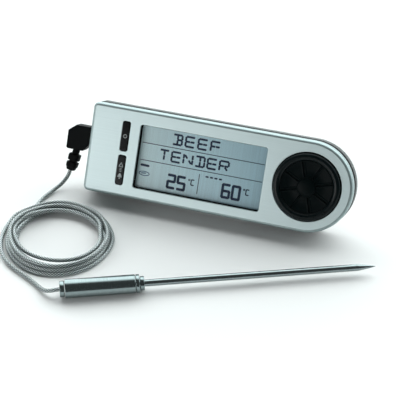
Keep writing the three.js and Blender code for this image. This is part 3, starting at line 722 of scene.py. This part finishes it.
# ---------------------------------------------------------------- plug
def make_plug():
    """The moulded plug body and its jack pin."""
    (left, right), (bottom, top), (back, front) = span("plug_body", UNIT)
    side = filleted([(left + 5.4, top, 0.6), (left, top - 4.4, 0.6), (left, bottom + 1, 0.5),
                     (left + 1, bottom, 0.5), (right - 5.5, bottom, 0.5), (right, bottom + 6.5, 0.6),
                     (right, top, 0.5)], closed=True)
    shape = Surface()
    shape.plate(side, back, front, 0.8, steps=5)
    body = finish_piece(shape.build("moulded_plug", UNIT), "probe_lead", "plastic_black",
                        ["plug_body"])
    pieces = [body]
    for node, slot, finish in (("plug_sleeve", "brass", "brass"),
                               ("plug_insulator", "black_plastic", "plastic_black"),
                               ("plug_tip", "brass", "brass")):
        (start, stop), (v0, v1), (w0, w1) = span(node, UNIT)
        radius = (v1 - v0) / 2
        point = 1.3 if node == "plug_tip" else 0.2
        profile = filleted([(0, start, 0), (radius, start, 0.15), (radius, stop - point, 0.15),
                            (radius - point * 0.75, stop, 0.15), (0, stop, 0)])
        shape = Surface()
        shape.turned(profile, 48)
        middle = Matrix.Translation((0, (v0 + v1) / 2 * MM, (w0 + w1) / 2 * MM))
        axes = UNIT @ middle @ Matrix.Rotation(math.pi / 2, 4, "Y")
        piece = shape.build(node.replace("plug", "jack"), axes)
        pieces.append(finish_piece(piece, "probe_lead", finish, [node]))
    return pieces


def make_strain_relief():
    """Two stout ribs on a thin neck, with square sections, leaning a little away from the unit."""
    corners = [(1.45, RELIEF_LENGTH, 0), (3.2, RELIEF_LENGTH, 0.3), (3.8, 13.2, 0.2), (4.3, 12.9, 0.25),
               (4.45, 9.7, 0.25), (2.9, 9.4, 0.15), (2.9, 8.4, 0.15), (4.4, 8.1, 0.25), (4.55, 4.0, 0.25),
               (2.6, 3.6, 0.15), (2.6, -0.3, 0)]
    profile = filleted(corners, steps=3)
    angles = np.linspace(0, 2 * math.pi, 64, endpoint=False)
    power = 5.0                # 2 gives a circle; the more, the squarer
    square = (np.abs(np.cos(angles)) ** power + np.abs(np.sin(angles)) ** power) ** (-1 / power)
    shape = Surface()
    rings = []
    for radius, distance in profile:
        reach = radius * (1 + np.clip((radius - 2.0) / 1.2, 0, 1) * (square / square.max() - 0.94))
        rings.append(shape.ring(np.column_stack((reach * np.cos(angles), reach * np.sin(angles))), distance))
    shape.capped(rings)
    relief = shape.build("ribbed_strain_relief", relief_axes())
    return finish_piece(relief, "probe_lead", "rubber", ["strain_relief"])


plug_pieces = make_plug() + [make_strain_relief()]


# ---------------------------------------------------------------- probe
def turned_piece(name, profile, node, finish, steps=96, closed=False, axes=PROBE, body="probe"):
    """A piece turned about its axes' z, with its finish; it stands for one CAD node."""
    shape = Surface()
    shape.turned(profile, steps, closed)
    return finish_piece(shape.build(name, axes), body, finish, [node])


def make_probe():
    """Rear cap, handle tube, ring and collar, and the long needle with its ground point."""
    hole = CORD_RADIUS + 0.25

    def tube(node, inner, corner, name, finish="turned_steel"):
        """A tube as long and as wide as the CAD node, bored to the inner radius."""
        _, (y0, y1), (start, stop) = span(node, PROBE)
        radius = (y1 - y0) / 2
        profile = filleted([(inner, start, 0.1), (radius, start, corner), (radius, stop, corner),
                            (inner, stop, 0.1)], closed=True)
        turned_piece(name, profile, node, finish, closed=True)

    tube("probe_rear_cap", hole, 0.5, name="rear_cap")
    tube("probe_handle", 4.9, 0.45, name="handle_tube")
    tube("probe_ring", 2.7, 0.3, name="handle_ring")
    tube("probe_collar", 2.6, 0.4, name="needle_collar")
    _, (y0, y1), (start, stop) = span("probe_needle", PROBE)
    radius = (y1 - y0) / 2
    cone = 11.5
    profile = filleted([(0, start, 0), (radius, start, 0.2), (radius, stop - cone, 3),
                        (radius * 0.45, stop - 3.6, 6),
                        (0.12, stop - 0.1, 0.05), (0, stop, 0)], steps=8)
    turned_piece("needle_rod", profile, "probe_needle", "needle_steel", 64)


make_probe()


# ---------------------------------------------------------------- steel cover
def make_cover():
    """The pressed steel front: a flat face with the window, key slots and dial's hole, and bent sides."""
    depth = span("front_cover", UNIT)[2][0]
    bend = [(COVER_BEND - x, y - COVER_BEND) for x, y in arc(0, 0, COVER_BEND, 90, 0, 10)]
    inner_bend = [(COVER_BEND - x, y - COVER_BEND) for x, y in arc(0, 0, COVER_BEND - COVER_SHEET, 0, 90, 6)]
    lip = [(0.0, depth + 0.2), (0.06, depth + 0.06), (0.2, depth), (COVER_SHEET, depth)]
    profile = [(COVER_BEND + SUPPORT, 0), *bend, *lip, *inner_bend, (COVER_BEND + SUPPORT, -COVER_SHEET)]
    shape = Surface()
    outer = [shape.ring(unit_outline(distance), height) for distance, height in profile]
    shape.bridge(outer)
    (w0, w1), (v0, v1), _ = span("window_lens", UNIT)
    window = rounded_rectangle((w0 + w1) / 2, (v0 + v1) / 2, w1 - w0 - 2 * WINDOW_MARGIN,
                               v1 - v0 - 2 * WINDOW_MARGIN, WINDOW_CORNER)
    holes = [(window, 0.35), (circle(0, 0, DIAL_HOLE_RADIUS, 96), 0.35)]
    for node in ("power_button", "signal_button"):
        (u0, u1), (v0, v1), _ = span(node, UNIT)
        slot = rounded_rectangle((u0 + u1) / 2, (v0 + v1) / 2, KEY_SIZE[0] + 2 * SLOT_GAP,
                                 KEY_SIZE[1] + 2 * SLOT_GAP, KEY_CORNER + SLOT_GAP)
        holes.append((slot, 0.2))
    walls = []
    for hole, radius in holes:
        rim = edge_profile(-COVER_SHEET, 0, radius, 4)
        walls.append([shape.ring(inset(hole, -distance), height) for distance, height in rim])
        shape.bridge(walls[-1])
    shape.fill(outer[0], [wall[-1] for wall in walls])
    shape.fill(outer[-1], [wall[0] for wall in walls])
    cover = shape.build("steel_cover", UNIT)
    finish_piece(cover, "unit", ["shaded_edge_steel", "face_steel"], ["front_cover"], sharp=40)
    # Faces on the flat front take the face's steel; the rest take the darker steel, painted shade on the
    # bends and sides.
    for face in cover.data.polygons:
        face.material_index = int(all(cover.data.vertices[i].co.z > -0.02 * MM for i in face.vertices))


make_cover()


# ---------------------------------------------------------------- rear housing
def housing_shell(back, front):
    """The tub's outside and its hollow, before anything is cut into its back."""
    corner = [(HOUSING_BEVEL - x, back + HOUSING_BEVEL - y) for x, y in arc(0, 0, HOUSING_BEVEL, 90, 0, 6)]
    profile = [(HOUSING_BEVEL + SUPPORT, back), *corner, (0, front - PAINTED_SHADE_BAND),
               (0, front - 0.2), (0.2, front)]
    shape = Surface()
    rings = [shape.ring(unit_outline(distance), height) for distance, height in profile]
    shape.capped(rings)
    housing = shape.build("rear_tub", UNIT)
    shape = Surface()
    wall = unit_outline(HOUSING_WALL, 48, 4)
    rings = [shape.ring(wall, height) for height in (back + BACK_WALL, front + 1)]
    shape.capped(rings)
    return combine(housing, shape.build("tool", UNIT), "DIFFERENCE")


def make_housing():
    """The moulded tub: cell bay, stand recess, magnet pockets, screw wells and sound holes in its back."""
    (left, _), (_, top), (back, front) = span("rear_housing", UNIT)
    (d0, d1), (e0, e1), _ = span("battery_door", UNIT)
    (s0, s1), (p0, p1), _ = span("stand_pin", UNIT)
    pin_v = (p0 + p1) / 2
    recess_top = pin_v + 2.1
    recess_floor = -17.4
    pocket_floor = -18.5
    bay_wall = 1.5
    gap = 0.3
    magnets = []
    for node in ("magnet_left", "magnet_right"):
        (m0, m1), _, _ = span(node, UNIT)
        magnets.append(((m0 + m1) / 2, (m1 - m0) / 2))

    housing = housing_shell(back, front)

    def add(tool):
        combine(housing, tool, "UNION")

    def cut(tool):
        combine(housing, tool, "DIFFERENCE")

    add(block((d0 - bay_wall, d1 + bay_wall), (e0 - bay_wall, e1 + bay_wall), (back + 1, front - 0.5)))
    add(block((s0 - bay_wall, s1 + bay_wall), (-top + 1, recess_top + 1.2), (back + 1, recess_floor + 1.5)))
    for middle, radius in magnets:
        add(rod(middle, 0, radius + bay_wall, (back + 1, pocket_floor + 1.5), steps=48))

    cut(block((d0 - gap, d1 + gap), (e0 - gap, e1 + gap), (back - 1, front + 1)))
    cut(block((s0, s1), (-top - 1, recess_top), (back - 1, recess_floor)))
    for middle, radius in magnets:
        cut(rod(middle, 0, radius + gap, (back - 1, pocket_floor), steps=48))
    for number in range(1, 5):
        (c0, c1), (f0, f1), _ = span(f"rear_screw_{number}", UNIT)
        cut(rod((c0 + c1) / 2, (f0 + f1) / 2, 2.5, (back - 1, back + 1.95), steps=32))
    for hole in range(5):
        column, row = hole % 3, hole // 3
        cut(rod(-28 + 3.5 * column + 1.75 * row, -12 - 3 * row, 0.8, (back - 1, back + 3), steps=20))
    jack_v, jack_w = [sum(ends) / 2 for ends in span("plug_sleeve", UNIT)[1:]]
    cut(across(jack_v, jack_w, 3.1, (left - 1, left + 3)))
    for ear in (s0 - 0.5, s1 - 2.2):
        add(block((ear, ear + 2.7), (pin_v - 1.7, recess_top + 0.5), (back + 0.2, recess_floor + 0.5)))
    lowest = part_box("rear_housing")[0].z / MM
    cut(block(EVERYWHERE, EVERYWHERE, (-50, lowest), WORLD))
    # The tub's front band takes black rubber as painted shade, for the shadowed step under the steel cover.
    finish_piece(housing, "unit", ["plastic_grey", "rubber"], ["rear_housing"], sharp=30)
    for face in housing.data.polygons:
        face.material_index = int(face.center.z > (front - PAINTED_SHADE_BAND) * MM)


make_housing()


def make_back_pieces():
    """Battery door, magnets, screws and foot pads."""
    (d0, d1), (e0, e1), (back, front) = span("battery_door", UNIT)
    shape = Surface()
    shape.plate(rounded_rectangle((d0 + d1) / 2, (e0 + e1) / 2, d1 - d0, e1 - e0, 1.0), back, front, 0.35)
    door = shape.build("cell_door", UNIT)
    for grip in range(4):
        start = d1 - 9 + 2 * grip
        combine(door, block((start, start + 1), (e0 + 6.5, e1 - 6.5), (back - 1, back + 0.5)), "DIFFERENCE")
    finish_piece(door, "battery_cover", "plastic_grey", ["battery_door"], sharp=30)

    for node in ("magnet_left", "magnet_right"):
        (m0, m1), _, (low, high) = span(node, UNIT)
        radius = (m1 - m0) / 2
        profile = filleted([(0, high, 0), (radius, high, 0.2), (radius, low, 0.4), (radius - 1.2, low, 0.2),
                            (radius - 1.5, low + 0.25, 0.2), (0, low + 0.25, 0)])
        axes = UNIT @ Matrix.Translation(((m0 + m1) / 2 * MM, 0, 0))
        turned_piece(f"disc_{node}", profile, node, "bright_steel", 64, axes=axes,
                     body="unit")

    for number in range(1, 5):
        node = f"rear_screw_{number}"
        (c0, c1), (f0, f1), (low, high) = span(node, UNIT)
        u, v = (c0 + c1) / 2, (f0 + f1) / 2
        profile = filleted([(0, high, 0), (1.05, high, 0.3), (1.05, low + 1.4, 0), (2.1, low + 1.4, 0.1),
                            (2.1, low + 0.35, 0.35), (1.2, low, 0.4), (0, low, 0)])
        shape = Surface()
        shape.turned(profile, 40)
        screw = shape.build(f"cross_head_{number}", UNIT @ Matrix.Translation((u * MM, v * MM, 0)))
        for reach_u, reach_v in ((1.3, 0.28), (0.28, 1.3)):
            tool = block((u - reach_u, u + reach_u), (v - reach_v, v + reach_v), (low - 1, low + 0.7))
            combine(screw, tool, "DIFFERENCE")
        finish_piece(screw, "unit", "bright_steel", [node], sharp=30)

    for node in ("foot_pad_left", "foot_pad_right"):
        low, high = [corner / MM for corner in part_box(node)]
        middle, size = (low + high) / 2, high - low
        shape = Surface()
        shape.plate(rounded_rectangle(middle.x, middle.y, size.x, size.y, 0.9), low.z, high.z, 0.25)
        finish_piece(shape.build(f"soft_{node}", WORLD), "unit", "rubber", [node])


make_back_pieces()


# ---------------------------------------------------------------- fold-out stand
def make_stand():
    """The stand's blade with its hinge barrel and finger dent, and the rubber strip on its foot."""
    (x0, x1), (y0, _), _ = span("stand", STAND)
    half = 1.1
    barrel, pin_hole, ear = 1.7, 1.1, 2.7
    shape = Surface()
    shape.plate(rounded_rectangle(0, (y0 - 2) / 2, x1 - x0, -(y0 - 2), 1.5), -half, half, 0.4)
    blade = shape.build("stand_blade", STAND)
    combine(blade, across(0, 0, barrel, (x0 + ear, x1 - ear), STAND, 40), "UNION")
    combine(blade, across(0, 0, pin_hole, (x0 - 2, x1 + 2), STAND, 32), "DIFFERENCE")
    for side in ((x0 - 1, x0 + ear), (x1 - ear, x1 + 1)):
        combine(blade, block(side, (-2.4, 9), (-5, 5), STAND), "DIFFERENCE")
    combine(blade, block((-9, 9), (y0 + 6, y0 + 12), (-3, -half + 0.7), STAND), "DIFFERENCE")
    table_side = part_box("stand")[0].z / MM
    combine(blade, block(EVERYWHERE, EVERYWHERE, (-60, table_side), WORLD), "DIFFERENCE")
    finish_piece(blade, "stand_leg", "plastic_grey", ["stand"], sharp=30)

    low, high = [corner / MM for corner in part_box("stand_foot")]
    middle, size = (low + high) / 2, high - low
    shape = Surface()
    shape.plate(rounded_rectangle(middle.x, middle.y, size.x, size.y, 0.5), low.z, high.z, 0.2)
    finish_piece(shape.build("stand_rubber", WORLD), "stand_leg", "rubber", ["stand_foot"])


make_stand()


# ---------------------------------------------------------------- selector dial
def make_dial():
    """A glossy rim, an insert of eight dished sectors between narrow grooves, and a domed hub."""
    (u0, u1), _, (_, crest) = span("dial_body", UNIT)
    radius = (u1 - u0) / 2
    back = -1.4
    half, shoulder = (radius - RIM_INNER) / 2, 0.7
    rim = [(radius - half + half * math.cos(a), shoulder + (crest - shoulder) * math.sin(a) ** 0.9)
           for a in np.linspace(0.0, math.pi, 24)[:-1]]
    floor = INSERT_FLOOR - 0.3
    profile = [(0, back), *filleted([(0, back, 0), (radius, back, 0.5), (radius, shoulder, 0)])[1:-1], *rim,
               (RIM_INNER, shoulder), (RIM_INNER, floor), (0, floor)]
    turned_piece("dial_rim", profile, "dial_body", "rim_black", 144, axes=UNIT, body="dial")

    inner, outer = HUB_RADIUS + 0.15, RIM_INNER - 0.15
    steps, rows = PETALS * 48, 28
    angles = np.arange(steps) * 2 * math.pi / steps
    nearest = (angles - PETAL_TURN) * PETALS / (2 * math.pi)
    nearest = (nearest - np.round(nearest)) * 2 * math.pi / PETALS
    shape = Surface()
    rings = [shape.ring(circle(0, 0, inner, steps), INSERT_FLOOR)]
    for reach in np.linspace(inner, outer, rows):
        share = (reach - inner) / (outer - inner)
        dish = 1.55 - 0.62 * math.sin(math.pi * share ** 0.8) ** 1.2
        away = np.abs(reach * np.sin(nearest))
        lip = 0.16 * np.exp(-((away - 0.95) / 0.35) ** 2)
        groove = 0.75 * np.exp(-(away / 0.5) ** 4)
        fade = np.clip(min(share, 1 - share) * 14, 0, 1)
        height = dish + (lip - groove) * fade
        rings.append(shape.ring(np.column_stack((reach * np.cos(angles), reach * np.sin(angles), height))))
    rings.append(shape.ring(circle(0, 0, outer, steps), INSERT_FLOOR))
    shape.bridge(rings, closed=True)
    insert = shape.build("petal_insert", UNIT)
    finish_piece(insert, "dial", "petal_black", ["dial_insert"], sharp=50)

    top = span("dial_hub", UNIT)[2][1]
    dome_base = 1.25
    dome = [(HUB_RADIUS * math.sin(a), dome_base + (top - dome_base) * math.cos(a))
            for a in np.linspace(math.pi / 2, 0, 16)]
    profile = [(0, INSERT_FLOOR), (HUB_RADIUS, INSERT_FLOOR), *dome]
    turned_piece("dial_dome", profile, "dial_hub", "petal_black", 96, axes=UNIT, body="dial")


make_dial()


# ---------------------------------------------------------------- keys
ICON_PROUD = 0.04


def flat_shape(shape, loop, low, high):
    """A thin plate of any outline."""
    shape.capped([shape.ring(loop, height) for height in (low, high)])


def flat_bar(shape, start, stop, width, low, high, point=0.5):
    """A thin bar with pointed ends between two places, as a display segment or a printed line."""
    start, stop = np.array(start, float), np.array(stop, float)
    along = (stop - start) / np.linalg.norm(stop - start)
    aside = np.array((-along[1], along[0])) * width / 2
    tip = along * width * point
    loop = [start, start + tip - aside, stop - tip - aside, stop, stop - tip + aside, start + tip + aside]
    flat_shape(shape, loop, low, high)


def flat_line(shape, places, width, low, high, closed=False):
    """A thin line through several places."""
    pairs = list(zip(places, places[1:])) + ([(places[-1], places[0])] if closed else [])
    for start, stop in pairs:
        start, stop = np.array(start, float), np.array(stop, float)
        along = (stop - start) / np.linalg.norm(stop - start) * width * 0.3
        flat_bar(shape, start - along, stop + along, width, low, high, point=0.3)


def make_key(node, name, body):
    """A key's cap and the flange under the cover; returns its middle and the height of its top."""
    (u0, u1), (v0, v1), (low, high) = span(node, UNIT)
    u, v = (u0 + u1) / 2, (v0 + v1) / 2
    shape = Surface()
    outer = rounded_rectangle(u, v, *KEY_SIZE, KEY_CORNER)
    shape.plate(outer, -1.35, high, 0.3, steps=5)
    flange = rounded_rectangle(u, v, u1 - u0, v1 - v0, 1.0)
    shape.plate(flange, low, -1.3, 0.1, steps=2)
    finish_piece(shape.build(name, UNIT), body, "gloss_black", [node])
    return u, v, high


def make_keys():
    """The power key with a ring printed on it, and the signal key with its row of small signs."""
    u, v, high = make_key("power_button", "power_key_cap", "power_key")
    low, top = high - 0.02, high + ICON_PROUD
    shape = Surface()
    flat_line(shape, circle(u, v, 1.15, 20), 0.5, low, top, closed=True)
    finish_piece(shape.build("power_sign", UNIT), "power_key", "print_grey")

    u, v, _ = make_key("signal_button", "signal_key_cap", "signal_key")
    shape = Surface()
    flat_line(shape, [(u - 1.3, v + 2.2), (u + 1.3, v + 2.2), (u, v + 5.2)], 0.45, low, top, closed=True)
    for row in (-0.9, 0.1, 1.0):
        flat_bar(shape, (u - 0.9, v + row), (u + 0.9, v + row), 0.35, low, top)
    flat_shape(shape, [(u - 1.5, v - 5.0), (u + 1.5, v - 5.0), (u + 1.1, v - 3.4), (u + 0.4, v - 2.4),
                       (u - 0.4, v - 2.4), (u - 1.1, v - 3.4)], low, top)
    flat_shape(shape, circle(u, v - 5.7, 0.5, 12), low, top)
    finish_piece(shape.build("signal_signs", UNIT), "signal_key", "print_grey")


make_keys()


# ---------------------------------------------------------------- display
# Fourteen-segment letters: a to f go round the cell, g and k are the middle bars, i and l the upright
# middle, h, j, m and n the slanting ones. Places are in a cell one unit wide and one unit high.
SEGMENTS = {
    "a": ((0, 1), (1, 1)), "b": ((1, 1), (1, 0.5)), "c": ((1, 0.5), (1, 0)), "d": ((0, 0), (1, 0)),
    "e": ((0, 0), (0, 0.5)), "f": ((0, 0.5), (0, 1)),
    "g": ((0, 0.5), (0.5, 0.5)), "k": ((0.5, 0.5), (1, 0.5)),
    "h": ((0.1, 0.93), (0.42, 0.57)), "i": ((0.5, 1), (0.5, 0.5)), "j": ((0.9, 0.93), (0.58, 0.57)),
    "l": ((0.5, 0.5), (0.5, 0)), "m": ((0.1, 0.07), (0.42, 0.43)), "n": ((0.58, 0.43), (0.9, 0.07)),
}
CHARACTERS = {
    "B": "abcdkil", "C": "adef", "D": "abcdil", "E": "adefgk", "F": "aefgk", "N": "bcefhn", "R": "abefgkn",
    "T": "ail", "0": "abcdef", "2": "abdegk", "5": "acdfgk", "6": "acdefgk",
}


def write(shape, marks, left, bottom, size, pitch, stroke, reach, low, high):
    """Writes a row of characters as bars; reach is how far a bar goes past its corner, in bar widths."""
    for number, mark in enumerate(marks):
        for segment in CHARACTERS[mark]:
            ends = [np.array((left + number * pitch + x * size[0], bottom + y * size[1]))
                    for x, y in SEGMENTS[segment]]
            along = (ends[1] - ends[0]) / np.linalg.norm(ends[1] - ends[0]) * stroke * reach
            flat_bar(shape, ends[0] - along, ends[1] + along, stroke, low, high, point=0.25)


def make_display():
    """The marks on the glass: a generic food and doneness, two temperatures, rules and a small sign."""
    (u0, u1), _, (_, glass) = span("lcd_panel", UNIT)
    low, high = glass - 0.01, glass + 0.05
    dark = Surface()
    letters = dict(size=(6.2, 6.6), stroke=1.35, reach=0.0, low=low, high=high)
    digits = dict(size=(4.8, 8.6), pitch=7.0, stroke=1.8, reach=0.3, low=low, high=high)
    write(dark, "BEEF", -95.2, 11.1, pitch=8.8, **letters)
    write(dark, "TENDER", -103.0, -0.7, pitch=8.4, **letters)
    write(dark, "25", -94.9, -18.6, **digits)
    write(dark, "60", -56.6, -18.0, **digits)
    for left, top in ((-80.6, -10.4), (-42.4, -10.0)):
        write(dark, "C", left + 1.9, top - 3.7, (2.1, 3.6), 0, 0.8, 0.1, low, high)
        flat_line(dark, circle(left + 0.5, top - 0.5, 0.5, 10), 0.5, low, high, closed=True)
    for v in (8.6, -3.2):
        flat_bar(dark, (u0 + 2.2, v), (u1 - 2.2, v), 0.5, low, high)
    flat_bar(dark, (-73.7, -5.5), (-73.7, -19.5), 0.5, low, high)
    for dash in range(4):
        flat_bar(dark, (-69.6 + 3.1 * dash, -6.6), (-67.0 + 3.1 * dash, -6.6), 1.1, low, high)
    flat_bar(dark, (-115.6, -6.6), (-108.8, -6.8), 1.6, low, high)
    finish_piece(dark.build("display_marks", UNIT), "unit", "segment_ink")
    faint = Surface()
    flat_line(faint, circle(0, 0, 1, 20) * (3.6, 1.4) + (-112, -12.3), 0.6, low, high, closed=True)
    flat_bar(faint, (-114.4, -12.3), (-110.6, -11.9), 0.8, low, high)
    finish_piece(faint.build("display_faint_sign", UNIT), "unit", "segment_faint")


make_display()

# ---------------------------------------------------------------- finishes of the CAD's own pieces
cad_finishes = {
    "plastic_black": ["inner_frame", "controller_chip", "buzzer", "power_switch", "signal_switch",
                      "jack_socket"],
    "plastic_white": ["lcd_backlight", "dial_glide_ring", "encoder_shaft"],
    "rubber": ["zebra_strip_top", "zebra_strip_bottom", "button_pad"],
    "bright_steel": ["cell_spring_1", "cell_spring_2", "cell_contact_left", "cell_contact_right",
                     "encoder_body", "stand_pin"],
    "cell_wrap": ["cell_1", "cell_2"],
    "lens": ["window_lens"],
    "display": ["lcd_panel"],
    "board": ["main_board"],
    "gloss_black": ["temperature_sensor"],
}
for finish, nodes in cad_finishes.items():
    for node in nodes:
        piece = frame["nodes"][node]
        piece.data.materials.clear()
        piece.data.materials.append(paint[finish])


# ---------------------------------------------------------------- floor and light
NEAR_SIDE = 0.1            # how bright the camera's side of the studio is
FAR_SIDE = 3.1             # how bright the side behind the object is
SIDES_MEET = (0.05, 0.42)  # where the one goes over into the other, along the world's y direction


def make_floor():
    """A plain pale table top, much wider than the view."""
    mesh = bpy.data.meshes.new("floor")
    side = 6.0
    corners = [(-side, -side, 0), (side, -side, 0), (side, side, 0), (-side, side, 0)]
    mesh.from_pydata(corners, [], [(0, 1, 2, 3)])
    material, _, shader = new_material("pale_floor")
    shader.inputs["Base Color"].default_value = (0.93, 0.935, 0.93, 1)
    shader.inputs["Roughness"].default_value = 0.8
    mesh.materials.append(material)
    floor = bpy.data.objects.new("floor", mesh)
    bpy.context.scene.collection.objects.link(floor)


def add_softbox(name, place, target, width, height, watts):
    """A rectangular area light that faces its target; all in metres."""
    data = bpy.data.lights.new(name, "AREA")
    data.shape = "RECTANGLE"
    data.size = width
    data.size_y = height
    data.energy = watts
    light = bpy.data.objects.new(name, data)
    light.location = place
    light.rotation_euler = (Vector(place) - Vector(target)).to_track_quat("Z", "Y").to_euler()
    bpy.context.scene.collection.objects.link(light)


def light_scene():
    """A bright far side and sky, a dark camera side, and a wide box at the left that the face mirrors."""
    world = bpy.data.worlds.new("studio")
    bpy.context.scene.world = world
    world.use_nodes = True
    tree = world.node_tree
    place = tree.nodes.new("ShaderNodeTexCoord")
    split = tree.nodes.new("ShaderNodeSeparateXYZ")
    tree.links.new(place.outputs["Generated"], split.inputs["Vector"])
    brightness = between(tree, split.outputs["Y"], NEAR_SIDE, FAR_SIDE, *SIDES_MEET)
    background = tree.nodes["Background"]
    background.inputs["Color"].default_value = (0.94, 1.0, 1.0, 1)
    tree.links.new(brightness, background.inputs["Strength"])
    add_softbox("near_softbox", (-1.14, -1.6, 0.5), (-0.02, 0.03, 0.03), 1.7, 0.42, 12)


make_floor()
light_scene()
bpy.context.scene.view_settings.view_transform = "Standard"
